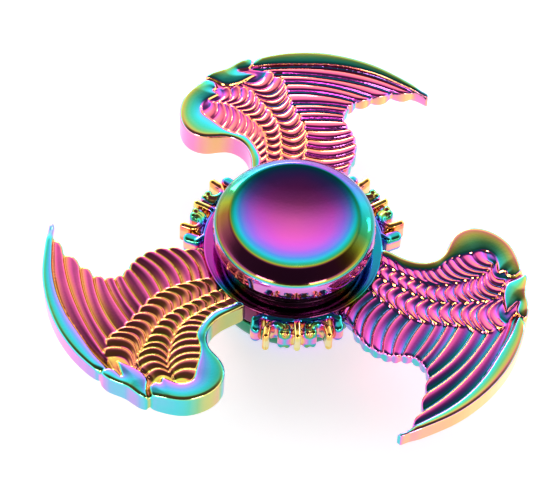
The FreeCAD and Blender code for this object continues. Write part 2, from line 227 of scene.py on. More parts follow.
def feather_tips(lines, steps=6):
    """Free edge of a row: each line's end runs on round its feather's tip to the line before."""
    edge = []
    for before, line in zip(lines, lines[1:]):
        start, end = line[-1], before[-1]
        heading = line[-1] - line[-2]
        heading /= np.linalg.norm(heading)
        pull = start + TIP_REACH * np.linalg.norm(end - start) * heading
        t = np.linspace(0, 1, steps, endpoint=False)[:, None]
        curve = (1 - t) ** 2 * start + 2 * t * (1 - t) * pull + t ** 2 * end
        edge.append(curve[::-1])
    return np.vstack(edge)


# ------------------------------------------------------------------------- distances in plan
def squared_gap(points, a, b):
    """Square of the distance from each point to the straight piece from a to b."""
    along = b - a
    reach = points - a
    share = np.clip(reach @ along / max(along @ along, 1e-12), 0, 1)
    gap = reach - share[:, None] * along
    return gap[:, 0] ** 2 + gap[:, 1] ** 2


def path_distance(points, path):
    """Distance from each point to an open path, and the side it lies on: 1 left, -1 right."""
    best = np.full(len(points), np.inf)
    side = np.ones(len(points))
    for a, b in zip(path[:-1], path[1:]):
        square = squared_gap(points, a, b)
        nearer = square < best
        best[nearer] = square[nearer]
        along = b - a
        reach = points[nearer] - a
        turn = along[0] * reach[:, 1] - along[1] * reach[:, 0]
        side[nearer] = np.where(turn < 0, -1, 1)
    return np.sqrt(best), side


def inside_loops(points, starts, ends):
    """Whether each point is inside closed loops given as loose straight pieces."""
    odd = np.zeros(len(points), bool)
    x, y = points[:, 0], points[:, 1]
    for a, b in zip(starts, ends):
        if a[1] == b[1]:
            continue
        spans = (a[1] > y) != (b[1] > y)
        odd ^= spans & (x < a[0] + (y - a[1]) * (b[0] - a[0]) / (b[1] - a[1]))
    return odd


def depth_in(points, outline):
    """How deep each point lies inside a closed outline. It is negative outside."""
    closed = np.vstack([outline, outline[:1]])
    distance = path_distance(points, closed)[0]
    return np.where(inside_loops(points, closed[:-1], closed[1:]), distance, -distance)


def section(node, height):
    """Where a level plane cuts a CAD node: start and end points of straight pieces."""
    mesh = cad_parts[node].data
    mesh.calc_loop_triangles()
    corners = np.array([v.co[:] for v in mesh.vertices]) / MM
    faces = np.array([t.vertices[:] for t in mesh.loop_triangles])
    above = corners[:, 2] > height
    crossed = faces[above[faces].any(1) & ~above[faces].all(1)]
    starts, ends = [], []
    for face in crossed:
        cut = []
        for i, j in ((0, 1), (1, 2), (2, 0)):
            a, b = corners[face[i]], corners[face[j]]
            if (a[2] > height) != (b[2] > height):
                cut.append((a + (b - a) * (height - a[2]) / (b[2] - a[2]))[:2])
        starts.append(cut[0])
        ends.append(cut[1])
    return np.array(starts), np.array(ends)


# ------------------------------------------------------------------------------ wing relief
def fade(value, width):
    """0 up to zero, 1 from one width on, and a straight rise between."""
    return np.clip(value / width, 0, 1)


def mix(a, b, share):
    """Straight blend from a to b."""
    return a + share * (b - a)


def edge_rise(depth, radius):
    """Quarter-round rise from 0 at an edge to 1 at a depth of one radius."""
    return np.sqrt(1 - (1 - fade(depth, radius)) ** 2)


def feather_ridges(points, lines):
    """Height of the feathers between lines listed from the far end to the hub: a long gentle side
    rises from each line to a level ridge, and a short steep side falls to the next line."""
    below = np.zeros(len(points), int)
    gaps = []
    for line in lines:
        gap, side = path_distance(points, run_on(line, LINE_OVERRUN))
        gaps.append(gap)
        below += side < 0
    gaps = np.array(gaps)
    lower = np.clip(below, 1, len(lines) - 1)
    every = np.arange(len(points))
    from_upper = gaps[lower - 1, every]
    from_lower = gaps[lower, every]
    share = from_upper / np.maximum(from_upper + from_lower, 1e-6)
    gentle = 1 - np.maximum(1 - share / RIDGE_START, 0) ** GENTLE_POWER
    steep = 1 - np.maximum((share - RIDGE_END) / (1 - RIDGE_END), 0) ** STEEP_POWER
    return np.minimum(gentle, steep)


def covert_row(points, ends, bow, floor, rise):
    """Half thickness of one row of overlapping feathers, 0 outside it, and its ridges' height."""
    lines = [bowed(start, end, bow) for start, end in ends]
    lines = [2 * lines[0] - lines[1]] + lines
    tips = feather_tips(lines)
    far = [(lines[-1][-1][0], ROW_NEAR_Y), (ROW_FAR_X, ROW_NEAR_Y), (ROW_FAR_X, ROW_FAR_Y)]
    outline = np.vstack([tips, far])
    depth = depth_in(points, outline)
    ridge = feather_ridges(points, lines)
    top = floor + SHINGLE * np.exp(-np.maximum(depth, 0) / SHINGLE_REACH) + rise * ridge
    below = floor - ROW_STEP
    return np.where(depth > 0, below + (top - below) * edge_rise(depth, TIP_ROUND), 0), ridge


def armour(points, stretches, far, half):
    """Half thickness of one armour plate, and how deep each point lies inside it. The plate
    slopes down towards the feathers and its inner edge is rounded."""
    inner = np.vstack([smooth(stretch) for stretch in stretches])
    depth = depth_in(points, np.vstack([inner, far]))
    slope = PLATE_DROP * np.exp(-np.maximum(depth, 0) / PLATE_SLOPE)
    low = half - PLATE_STEP
    top = half - slope
    return np.where(depth > 0, low + (top - low) * edge_rise(depth, PLATE_ROUND), 0), depth


class Plan:
    """A grid of points in plan, and values on it that are read back between its points."""

    def __init__(self, low, high, step):
        self.low = np.array(low, float)
        self.step = step
        self.count = [int(math.ceil((b - a) / step)) + 1 for a, b in zip(low, high)]
        axes = [a + step * np.arange(n) for a, n in zip(low, self.count)]
        self.points = np.stack(np.meshgrid(*axes, indexing="ij"), -1).reshape(-1, 2)

    def read(self, values, places):
        grid = values.reshape(self.count)
        spot = (places - self.low) / self.step
        spot = np.clip(spot, 0, np.array(self.count) - 1.001)
        cell = spot.astype(int)
        u, v = (spot - cell).T
        i, j = cell.T
        return ((1 - u) * (1 - v) * grid[i, j] + u * (1 - v) * grid[i + 1, j]
                + (1 - u) * v * grid[i, j + 1] + u * v * grid[i + 1, j + 1])

    def softened(self, values, rounds):
        """The values with their sharp creases eased, like a polished casting."""
        grid = values.reshape(self.count)
        for axis in (0, 1) * 2 * rounds:
            grid = grid / 2 + (np.roll(grid, 1, axis) + np.roll(grid, -1, axis)) / 4
        return grid.ravel()


def wing_outline(plan):
    """How far each point of the plan lies inside one wing's outline. It is negative outside."""
    points = plan.points
    starts, ends = section("wing_frame", JUST_OFF)
    inside = inside_loops(points, starts, ends)
    x, y = ((starts + ends) / 2).T
    first, last = OWN_BEARINGS
    radius = np.hypot(x, y)
    bearing = np.degrees(np.arctan2(y, x))
    near_wing = (bearing > first) & (bearing < last) | (radius > CREST_OUT_R) & (y > OWN_LEAST_Y)
    own = near_wing & (radius > RING_R + JUST_OFF) & (y > OWN_LEAST_Y) & (x > OWN_LEAST_X)
    square = np.full(len(points), np.inf)
    for a, b in zip(starts[own], ends[own]):
        square = np.minimum(square, squared_gap(points, a, b))
    distance = np.sqrt(square)
    r = np.hypot(points[:, 0], points[:, 1])
    angle = np.degrees(np.arctan2(points[:, 1], points[:, 0]))
    crest = (r < CREST_OUT_R) & ((angle < first) | (angle > last))
    outline = np.where(inside & ~crest, distance, -distance)
    outline = plan.softened(np.minimum(outline, r - ROOT_R), OUTLINE_ROUNDS)
    tip = fade(points[:, 0] - TIP_START, TIP_LENGTH)
    outline = mix(outline, plan.softened(outline, TIP_ROUNDS), tip)
    wider = np.roll(outline.reshape(plan.count), -TIP_CELLS, 1).ravel()
    return mix(outline, np.maximum(outline, wider), tip)


def wing_relief(points):
    """Half thickness of one wing, height of its feathers' ridges, and depth inside its armour."""
    flight = [through(*line, 36) for line in FLIGHT_LINES]
    ridge = feather_ridges(points, flight)
    half = (np.interp(points[:, 1], FLIGHT_PLACES, FLIGHT_FLOORS)
            + np.interp(points[:, 1], FLIGHT_PLACES, FLIGHT_RISES) * ridge)
    rows = [(OUTER_LINES, OUTER_BOW, OUTER_FLOOR, OUTER_RISE),
            (MIDDLE_LINES, MIDDLE_BOW, MIDDLE_FLOOR, MIDDLE_RISE),
            (INNER_LINES, INNER_BOW, INNER_FLOOR, INNER_RISE)]
    for row in rows:
        top, row_ridge = covert_row(points, *row)
        ridge = np.where(top > half, row_ridge, ridge)
        half = np.maximum(half, top)
    plates = [(QUILL_PLATE, QUILL_FAR, QUILL_HALF), (COLLAR_PLATE, COLLAR_FAR, COLLAR_HALF),
              (SHOULDER_PLATE, SHOULDER_FAR, SHOULDER_HALF)]
    across = np.zeros(len(points))
    for stretches, far, thickness in plates:
        top, depth = armour(points, stretches, far, thickness)
        half = np.maximum(half, top)
        across = np.maximum(across, depth)
    return half, ridge, across


# -------------------------------------------------------------------- meshes from a field
# Rounds of settling, the least square of a slope that they use, and the longest move of a round
# in grid steps.
SETTLE_ROUNDS = 4
FLATTEST = 0.05
LONGEST_MOVE = 0.35


def shell(field, low, high, step):
    """Quad mesh of the surface where field(places) is zero. The field is negative inside."""
    count = [int(math.ceil((b - a) / step)) + 1 for a, b in zip(low, high)]
    axes = [a + step * np.arange(n) for a, n in zip(low, count)]
    places = np.stack(np.meshgrid(*axes, indexing="ij"), -1).reshape(-1, 3)
    values = field(places).reshape(count)
    cells = tuple(n - 1 for n in count)
    total = np.zeros(cells + (3,))
    hits = np.zeros(cells)
    for axis in range(3):
        others = [n for n in range(3) if n != axis]
        for offset in itertools.product((0, 1), repeat=2):
            corner = [0, 0, 0]
            corner[others[0]], corner[others[1]] = offset
            a = values[tuple(slice(c, c + n) for c, n in zip(corner, cells))]
            corner[axis] = 1
            b = values[tuple(slice(c, c + n) for c, n in zip(corner, cells))]
            crosses = (a < 0) != (b < 0)
            gap = np.where(crosses, a - b, 1.0)
            total[..., axis] += np.where(crosses, a / gap, 0)
            for other, o in zip(others, offset):
                total[..., other] += np.where(crosses, o, 0)
            hits += crosses
    used = hits > 0
    number = np.full(cells, -1)
    number[used] = np.arange(used.sum())
    spots = np.argwhere(used) + total[used] / hits[used][:, None]
    verts = np.array(low) + step * spots

    quads = []
    for axis in range(3):
        b_axis, c_axis = (axis + 1) % 3, (axis + 2) % 3
        a = np.take(values, range(count[axis] - 1), axis)
        b = np.take(values, range(1, count[axis]), axis)
        crossed = np.argwhere((a < 0) != (b < 0))
        rising = (a < 0)[tuple(crossed.T)]
        ring = []
        for db, dc in ((1, 1), (0, 1), (0, 0), (1, 0)):
            cell = crossed.copy()
            cell[:, b_axis] -= db
            cell[:, c_axis] -= dc
            ring.append(number[tuple(cell.T)])
        ring = np.array(ring).T
        ring[~rising] = ring[~rising][:, ::-1]
        quads.append(ring)
    return settle(field, verts, step), np.vstack(quads)


def settle(field, verts, step):
    """Move each vertex along the field's slope until it lies on the surface."""
    reach = step / 4
    for _ in range(SETTLE_ROUNDS):
        value = field(verts)
        slope = np.empty_like(verts)
        for axis in range(3):
            shift = np.zeros(3)
            shift[axis] = reach
            slope[:, axis] = (field(verts + shift) - field(verts - shift)) / (2 * reach)
        square = np.maximum((slope ** 2).sum(1), FLATTEST)
        move = -slope * (value / square)[:, None]
        length = np.linalg.norm(move, axis=1)
        move *= np.minimum(1, LONGEST_MOVE * step / np.maximum(length, 1e-9))[:, None]
        verts = verts + move
    return verts


def rounded_meet(a, b, radius):
    """Field of the space that lies inside two fields at once, with the edge between them rounded."""
    a, b = a + radius, b + radius
    return np.minimum(np.maximum(a, b), 0) + np.hypot(np.maximum(a, 0), np.maximum(b, 0)) - radius


def make_piece(name, verts, faces, material, body, replaced):
    """Object from vertices in millimetres, riding on a body and standing for CAD nodes."""
    mesh = bpy.data.meshes.new(name)
    mesh.from_pydata((np.asarray(verts) * MM).tolist(), [], [list(map(int, f)) for f in faces])
    mesh.validate()
    mesh.polygons.foreach_set("use_smooth", [True] * len(mesh.polygons))
    piece = bpy.data.objects.new(name, mesh)
    bpy.context.scene.collection.objects.link(piece)
    mesh.materials.append(material)
    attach(piece, body)
    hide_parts(*replaced)
    return piece


def paint(piece, name, values):
    """Store one number per vertex for the piece's material."""
    layer = piece.data.attributes.new(name, "FLOAT", "POINT")
    layer.data.foreach_set("value", np.asarray(values, np.float32))


def turned(points, angle):
    """The points turned about Z."""
    c, s = math.cos(angle), math.sin(angle)
    points = np.array(points, float)
    x, y = points[..., 0].copy(), points[..., 1].copy()
    points[..., 0] = c * x - s * y
    points[..., 1] = s * x + c * y
    return points


# ------------------------------------------------------------------------------- materials
# The coating's colours in the order in which the film thickens.
COATING = [
    (0.00, "e8e88a"), (0.10, "f2c14a"), (0.20, "f59342"), (0.30, "f56a6e"), (0.38, "f24fa6"),
    (0.46, "cc48c4"), (0.53, "8a5ad2"), (0.60, "3f7fd0"), (0.67, "12b0c0"), (0.74, "18b08c"),
    (0.80, "49a84e"), (0.86, "a8a832"), (0.92, "dc7a4a"), (0.97, "d84a8c"), (1.00, "a03a78"),
]
# The same on the caps and the ring, whose thickest film is darkened as painted shade for the
# caps' bevel and the ring's front.
CAP_COATING_AND_SHADE = [
    (0.00, "c8c070"), (0.30, "c8545a"), (0.38, "c8408c"), (0.46, "b03eac"), (0.53, "7a50bc"),
    (0.60, "3a70b8"), (0.67, "129aa8"), (0.74, "128a70"), (0.80, "2c8048"), (0.86, "7c8420"),
    (0.92, "7a5024"), (0.97, "743048"), (1.00, "70305a"),
]
# Most of a noise's values lie between these.
NOISE_LOW, NOISE_HIGH = 0.3, 0.7
# Direction of the display side, and how far a level surface faces it. A colour shift by how far a
# surface faces this fixed direction is painted iridescent sheen for that one view.
DISPLAY_SIDE = Vector((0.0, -0.595, 0.804))
LEVEL_SHARE = 0.804
PALE_GAMMA = 0.45


def linear(code):
    """Scene colour of an sRGB hex code."""
    parts = [int(code[i:i + 2], 16) / 255 for i in (0, 2, 4)]
    return [p / 12.92 if p <= 0.04045 else ((p + 0.055) / 1.055) ** 2.4 for p in parts] + [1.0]


def colour(value):
    """Scene colour of an sRGB hex code, or of a grey given as a number."""
    return linear(value) if isinstance(value, str) else [value, value, value, 1.0]


class Nodes:
    """A node tree, with short calls for the nodes that the finishes and the light share."""

    def __init__(self, tree):
        self.tree = tree
        self.tree.nodes.clear()

    def node(self, kind, **settings):
        node = self.tree.nodes.new(kind)
        for key, value in settings.items():
            setattr(node, key, value)
        return node

    def link(self, source, target):
        self.tree.links.new(source, target)

    def math(self, operation, a, b=0.0, c=0.0):
        node = self.node("ShaderNodeMath", operation=operation)
        for socket, value in zip(node.inputs, (a, b, c)):
            if isinstance(value, (int, float)):
                socket.default_value = value
            else:
                self.link(value, socket)
        return node.outputs[0]

    def dot(self, vector, direction):
        node = self.node("ShaderNodeVectorMath", operation="DOT_PRODUCT")
        self.link(vector, node.inputs[0])
        node.inputs[1].default_value = direction
        return node.outputs["Value"]

    def spread(self, value, low, high, start=0.0, end=1.0, curve="LINEAR"):
        """The value stretched from start..end to low..high."""
        node = self.node("ShaderNodeMapRange", interpolation_type=curve)
        self.link(value, node.inputs["Value"])
        for name, number in (("From Min", start), ("From Max", end), ("To Min", low), ("To Max", high)):
            node.inputs[name].default_value = number
        return node.outputs["Result"]

    def ramp(self, value, stops):
        node = self.node("ShaderNodeValToRGB")
        elements = node.color_ramp.elements
        while len(elements) < len(stops):
            elements.new(0.5)
        for element, (place, _) in zip(elements, stops):
            element.position = place
        for element, (_, shade) in zip(elements, stops):
            element.color = colour(shade)
        self.link(value, node.inputs["Fac"])
        return node.outputs["Color"]


class Finish(Nodes):
    """A material's node tree round one Principled shader."""

    def __init__(self, name):
        self.material = bpy.data.materials.new(name)
        self.material.use_nodes = True
        super().__init__(self.material.node_tree)
        self.surface = self.node("ShaderNodeBsdfPrincipled")
        output = self.node("ShaderNodeOutputMaterial")
        self.link(self.surface.outputs["BSDF"], output.inputs["Surface"])
        self.coordinates = self.node("ShaderNodeTexCoord")

    def painted(self, name):
        """A number stored on the mesh by paint."""
        return self.node("ShaderNodeAttribute", attribute_name=name).outputs["Fac"]

    def noise(self, scale, detail, roughness=0.5):
        node = self.node("ShaderNodeTexNoise")
        self.link(self.coordinates.outputs["Object"], node.inputs["Vector"])
        node.inputs["Scale"].default_value = scale
        node.inputs["Detail"].default_value = detail
        node.inputs["Roughness"].default_value = roughness
        return node.outputs["Fac"]

    def bump(self, height, distance):
        node = self.node("ShaderNodeBump")
        node.inputs["Distance"].default_value = distance
        self.link(height, node.inputs["Height"])
        self.link(node.outputs["Normal"], self.surface.inputs["Normal"])

    def set(self, **values):
        for name, value in values.items():
            socket = self.surface.inputs[name.replace("_", " ")]
            if isinstance(value, (int, float, list)):
                socket.default_value = value
            else:
                self.link(value, socket)


# The coating's colour drifts in patches, its shine in smears, and it has a fine grain. The scales
# are waves per metre.
PATCH_SCALE, PATCH_DRIFT = 170, 0.03
SMEAR_SCALE, SHINE = 900, (0.05, 0.13)
GRAIN_SCALE, GRAIN_DEPTH = 2600, 0.000004
TURNING_SCALE, TURNING_WAVER, TURNING_DEPTH = 900, 1.5, 0.000003


def coating(name, gain, colours):
    """Mirror metal under a thin film. The colour's order, how much it changes where the surface
    leans away from the display side, and its paleness are painted on the mesh. The change with
    the display side is painted iridescent sheen for that one view, and the painted order and
    paleness also carry painted shade, highlights and reflections."""
    s = Finish(name)
    facing = s.math("ABSOLUTE", s.dot(s.coordinates.outputs["Normal"], DISPLAY_SIDE))
    # Painted iridescent sheen: the order shifts by how far the surface faces the fixed display side.
    sheen_shift = s.math("MULTIPLY", s.math("SUBTRACT", facing, LEVEL_SHARE), s.painted("lean"))
    order = s.math("MULTIPLY_ADD", sheen_shift, gain, s.painted("film"))
    order = s.math("ADD", order, s.spread(s.noise(PATCH_SCALE, 2.0), -PATCH_DRIFT, PATCH_DRIFT))
    strong = s.ramp(order, colours)
    washed = s.node("ShaderNodeGamma")
    s.link(strong, washed.inputs["Color"])
    washed.inputs["Gamma"].default_value = PALE_GAMMA
    tint = s.node("ShaderNodeMix", data_type="RGBA")
    s.link(s.painted("pale"), tint.inputs[0])
    s.link(strong, tint.inputs[6])
    s.link(washed.outputs["Color"], tint.inputs[7])
    s.set(Base_Color=tint.outputs[2], Metallic=1.0)
    s.set(Roughness=s.spread(s.noise(SMEAR_SCALE, 4.0, 0.6), *SHINE, NOISE_LOW, NOISE_HIGH))
    s.bump(s.noise(GRAIN_SCALE, 2.0), GRAIN_DEPTH)
    return s.material


def steel(name, dark, bright, rough, grain):
    """Machined steel with fine turning marks."""
    s = Finish(name)
    mottled = s.noise(grain, 5.0, 0.6)
    s.set(Base_Color=s.ramp(mottled, [(NOISE_LOW, dark), (NOISE_HIGH, bright)]), Metallic=1.0)
    s.set(Roughness=s.spread(mottled, rough * 0.7, rough * 1.4, NOISE_LOW, NOISE_HIGH))
    wave = s.node("ShaderNodeTexWave", wave_type="RINGS", rings_direction="Z")
    s.link(s.coordinates.outputs["Object"], wave.inputs["Vector"])
    wave.inputs["Scale"].default_value = TURNING_SCALE
    wave.inputs["Distortion"].default_value = TURNING_WAVER
    s.bump(wave.outputs["Fac"], TURNING_DEPTH)
    return s.material


# Coating on the wings, as orders in COATING. The wings are copies of one casting, and their own
# orders are painted sheen for the way each one is turned to the display side. ridge: on the ridges
# of flight feathers and of coverts. crease_shade: how much that changes down in the lines between
# them, near the hub and far out, as painted shade and reflection in the creases. tilt: how much of
# the painted tilt sheen they show. armour: at the armour's inner edge, from where it rises to the
# rim. steep: painted sheen on the steep sides of flight feathers and on the tips of coverts.
# walls: painted reflections on upright walls, by the way that they face.
WALL_TURNS = [-170, -145, -115, -85, -60, -35, 0, 90, 180]
WING_COATS_AND_PAINTED_LIGHT = {
    "wing_far": {
        "ridge": (0.345, 0.315), "crease_shade": (0.0, 0.34), "tilt": 0.5,
        "armour": 0.62, "steep": (0.44, 0.08),
        "walls": [0.44, 0.42, 0.38, 0.24, 0.10, 0.66, 0.74, 0.40, 0.44],
    },
    "wing_left": {
        "ridge": (0.985, 0.94), "crease_shade": (-0.11, -0.09), "tilt": 0.10,
        "armour": 0.53, "steep": (0.895, 0.885),
        "walls": [0.42, 0.42, 0.62, 0.69, 0.84, 0.90, 0.40, 0.40, 0.42],
    },
    "wing_right": {
        "ridge": (0.39, 0.37), "crease_shade": (0.28, 0.37), "tilt": 0.8,
        "armour": 0.69, "steep": (0.24, 0.07),
        "walls": [0.60, 0.55, 0.72, 0.42, 0.22, 0.06, 0.04, 0.10, 0.60],
    },
}
ARMOUR_ORDER = 0.24
RIM_ORDER, RIM_REACH = 0.15, 0.5
# Paleness: STEEP_PALE is a painted highlight on steep sides, WALL_PALE a painted reflection of the
# bright floor on upright walls.
LEAST_PALE, PLATE_PALE, STEEP_PALE, WALL_PALE = 0.12, 0.25, 0.35, 0.9
PLATE_TILT = 0.5

# Where each kind of surface starts, and how far it takes to fade in: armour by its depth, walls by
# the depth below the top, coverts by half thickness and steep sides by their normal's height.
PLATE_FADE = 0.35
WALL_FADE = 0.5
COVERT_START, COVERT_FADE = 1.25, 0.15
STEEP_START, STEEP_FADE = 0.82, 0.3


def top_film(feather, armour_film, across, rim):
    """Order of the coating seen from above, from the order of the feathers and of the armour."""
    share = across / np.maximum(across + rim, 0.01)
    edge = RIM_ORDER * np.exp(-rim / RIM_REACH)
    return feather + fade(across, PLATE_FADE) * (armour_film - feather + ARMOUR_ORDER * share + edge)


# ------------------------------------------------------------------------------ wing meshes
def make_wings(material):
    plan = Plan(PLAN_LOW, PLAN_HIGH, PLAN_GRID)
    outline = -wing_outline(plan)
    half, ridge, across = wing_relief(plan.points)
    half, ridge = plan.softened(half, 1), plan.softened(ridge, 1)

    def field(places):
        xy = places[:, :2]
        level = np.abs(places[:, 2]) - plan.read(half, xy)
        return rounded_meet(level, plan.read(outline, xy), EDGE_ROUND)

    top = (math.ceil(WING_TOP / GRID) - 0.5) * GRID
    verts, faces = shell(field, (*WING_LOW, -top), (*WING_HIGH, top), GRID)
    xy = verts[:, :2]
    rim = -plan.read(outline, xy)
    depth = plan.read(across, xy)
    thick = plan.read(half, xy)
    crease_shade = 1 - plan.read(ridge, xy)
    plate = fade(depth, PLATE_FADE)
    wall = fade(thick - np.abs(verts[:, 2]), WALL_FADE)
    covert = fade(thick - COVERT_START, COVERT_FADE)
    for i, (name, coat) in enumerate(WING_COATS_AND_PAINTED_LIGHT.items()):
        piece = make_piece(name, turned(verts, i * ARM_STEP), faces, material, "spinning_frame",
                           ["wing_frame"])
        normals = np.array([v.normal[:] for v in piece.data.vertices])
        # Painted sheen and highlight on steep sides: their own order and a paler colour.
        steep = fade(STEEP_START - np.abs(normals[:, 2]), STEEP_FADE)
        # Painted shade and reflection in the creases: the order shifts down in the lines between
        # feathers.
        crease_shade_film = np.interp(xy[:, 1], FLIGHT_PLACES, coat["crease_shade"])
        feather = mix(*coat["ridge"], covert) + crease_shade_film * crease_shade
        film = top_film(feather, coat["armour"], depth, rim)
        film = mix(film, mix(*coat["steep"], covert), steep)
        # Painted reflections on the walls: their order follows the way each wall faces, and they are
        # washed pale.
        facing = np.degrees(np.arctan2(normals[:, 1], normals[:, 0]))
        film = mix(film, np.interp(facing, WALL_TURNS, coat["walls"]), wall)
        paint(piece, "film", film)
        pale = LEAST_PALE + PLATE_PALE * plate + STEEP_PALE * steep
        paint(piece, "pale", mix(pale, WALL_PALE, wall))
        # Painted sheen: how strongly the colour shifts with facing the display side.
        paint(piece, "lean", (1 - wall) * (1 - steep) * mix(coat["tilt"], PLATE_TILT, plate))


# ------------------------------------------------------------- crests between the wings
# Strokes of one crest, pointing along +Y and mirrored: path, half width, half thickness.
CREST_STROKES = [
    ([(0.0, 14.4), (0.0, 16.9)], 0.54, 2.05),
    ([(0.95, 15.7), (0.98, 16.3)], 0.45, 1.6),
    ([(1.9, 15.2), (1.95, 15.95)], 0.98, 1.65),
    ([(2.0, 13.4), (2.0, 15.2)], 0.5, 1.4),
    ([(4.6, 15.5), (4.8, 16.7)], 0.56, 2.0),
    ([(4.1, 13.1), (4.1, 14.5)], 0.75, 1.4),
    ([(6.0, 13.6), (6.2, 14.9)], 0.9, 1.6),
    ([(5.2, 13.0), (6.4, 13.4)], 0.45, 1.8),
]
CREST_BEADS = [(1.5, 16.3), (2.4, 16.2)]
BEAD_R, BEAD_HALF = 0.58, 2.05
HOOK_CENTRE = (3.35, 15.75)
HOOK_MID_R = 1.27
HOOK_HALF_WIDTH, HOOK_HALF = 0.5, 1.9
BAND_MID_R = 13.8
BAND_HALF_WIDTH, BAND_HALF = 0.45, 1.75
BAND_ANGLE = math.radians(25)
CREST_GRID = 0.11
CREST_LOW, CREST_HIGH = (-7.3, 12.2), (7.3, 17.8)
CREST_TOP = 2.15
CREST_ROUND = 0.55
BLEND = 0.2

# Order of the coating on a crest's upright faces, by the distance from its middle line, and on
# its top, which starts at a height and has its own order where the crest joins the ring.
CREST_REACHES = [0.0, 0.5, 0.95, 1.3, 1.9, 2.5, 3.2, 4.3, 5.0, 5.7, 6.2, 7.0]
CREST_ORDERS = [0.04, 0.04, 0.20, 0.42, 0.66, 0.42, 0.28, 0.04, 0.06, 0.42, 0.40, 0.24]
CREST_TOPS = [0.08, 0.10, 0.50, 0.86, 0.90, 0.80, 0.70, 0.18, 0.10, 0.55, 0.70, 0.74]
TOP_START, TOP_FADE = 0.6, 0.4
TOP_TILT, TOP_PALE = 0.3, 0.25
FOOT_R, FOOT_FADE, FOOT_ORDER = 14.9, 0.6, 0.60


def soft_union(a, b):
    """Union of two fields whose meeting line is blended like a casting fillet."""
    share = np.clip(0.5 + 0.5 * (b - a) / BLEND, 0, 1)
    return b * (1 - share) + a * share - BLEND * share * (1 - share)


def rounded_bar(plan_gap, z, half):
    """Field of a plan shape with upright sides and rounded top and bottom edges."""
    return rounded_meet(np.abs(z) - half, plan_gap, CREST_ROUND)


def crest_field(places):
    """Field of one crest: a band on the ring with the strokes, a hook and beads on it."""
    x, y, z = np.abs(places[:, 0]), places[:, 1], places[:, 2]
    spots = np.stack([x, y], 1)
    band = np.abs(np.hypot(x, y) - BAND_MID_R) - BAND_HALF_WIDTH
    band = np.maximum(band, (np.arctan2(x, y) - BAND_ANGLE) * BAND_MID_R)
    field = rounded_bar(band, z, BAND_HALF)
    for path, width, half in CREST_STROKES:
        gap = path_distance(spots, np.array(path))[0] - width
        field = soft_union(field, rounded_bar(gap, z, half))
    hook_x, hook_y = HOOK_CENTRE
    from_bend = np.hypot(x - hook_x, y - hook_y) - HOOK_MID_R
    hook = np.hypot(from_bend, np.maximum(y - hook_y, 0)) - HOOK_HALF_WIDTH
    field = soft_union(field, rounded_bar(hook, z, HOOK_HALF))
    level = np.maximum(np.abs(z) - BEAD_HALF + BEAD_R, 0)
    for bead_x, bead_y in CREST_BEADS:
        bead = np.sqrt((x - bead_x) ** 2 + (y - bead_y) ** 2 + level ** 2) - BEAD_R
        field = np.minimum(field, bead)
    return field


def make_crests(material):
    high = math.ceil(CREST_TOP / CREST_GRID) * CREST_GRID + CREST_GRID / 2
    verts, faces = shell(crest_field, (*CREST_LOW, -high), (*CREST_HIGH, high), CREST_GRID)
    reach = np.abs(verts[:, 0])
    top = fade(np.abs(verts[:, 2]) - TOP_START, TOP_FADE)
    foot = fade(FOOT_R - np.hypot(verts[:, 0], verts[:, 1]), FOOT_FADE)
    top_order = mix(np.interp(reach, CREST_REACHES, CREST_TOPS), FOOT_ORDER, foot)
    film = mix(np.interp(reach, CREST_REACHES, CREST_ORDERS), top_order, top)
    for i, name in enumerate(("crest_right", "crest_left", "crest_front")):
        angle = CREST_PHASE - math.pi / 2 + i * ARM_STEP
        piece = make_piece(name, turned(verts, angle), faces, material, "spinning_frame",
                           ["wing_frame"])
        paint(piece, "film", film)
        # Painted sheen on the tops by the lean; upright faces washed pale as painted reflection of the
        # bright floor.
        paint(piece, "lean", TOP_TILT * top)
        paint(piece, "pale", mix(WALL_PALE, TOP_PALE * (1 - foot), top))


# ------------------------------------------------------------------------- turned pieces
TURN_STEPS = 240


def rounded(corners, steps=6):
    """Profile through (radius, height, fillet) corners with its corners rounded off. A point
    that repeats the one before it is left out."""
    profile = []
    for i, (r, z, fillet) in enumerate(corners):
        spot = np.array([r, z], float)
        if fillet == 0:
            profile.append(spot)
            continue
        before = np.array(corners[i - 1][:2], float) - spot
        after = np.array(corners[(i + 1) % len(corners)][:2], float) - spot
        start = spot + before / np.linalg.norm(before) * fillet
        end = spot + after / np.linalg.norm(after) * fillet
        for t in np.linspace(0, 1, steps + 1):
            profile.append((1 - t) ** 2 * start + 2 * t * (1 - t) * spot + t ** 2 * end)
    kept = [b for a, b in zip(profile, profile[1:]) if not np.allclose(a, b)]
    return np.array(profile[:1] + kept)


def lathe(profile, closed):
    """Quads around Z of a profile; a closed profile joins its last point to its first."""
    verts, rings, faces = [], [], []
    for r, z in profile:
        if r < 1e-6:
            rings.append([len(verts)] * TURN_STEPS)
            verts.append((0.0, 0.0, z))
            continue
        rings.append(list(range(len(verts), len(verts) + TURN_STEPS)))
        for i in range(TURN_STEPS):
            angle = 2 * math.pi * i / TURN_STEPS
            verts.append((r * math.cos(angle), r * math.sin(angle), z))
    pairs = list(zip(rings, rings[1:])) + ([(rings[-1], rings[0])] if closed else [])
    for a, b in pairs:
        for i in range(TURN_STEPS):
            j = (i + 1) % TURN_STEPS
            face = [a[i], b[i], b[j], a[j]]
            faces.append(list(dict.fromkeys(face)))
    return np.array(verts), faces


def from_front(places):
    """Bearing of each place round Z in degrees, from the front to the right."""
    return np.degrees(np.arctan2(places[:, 0], -places[:, 1]))


# Order of the ring's coating by bearing, painted sheen that is darkest at the front as painted
# shade, and the fillets of its bore and of its outside.
RING_TURNS = [-180, -90, -60, -35, 35, 60, 90, 180]
RING_ORDERS = [0.50, 0.42, 0.45, 0.99, 0.99, 0.62, 0.66, 0.50]
BORE_FILLET, RING_FILLET = 0.2, 0.45


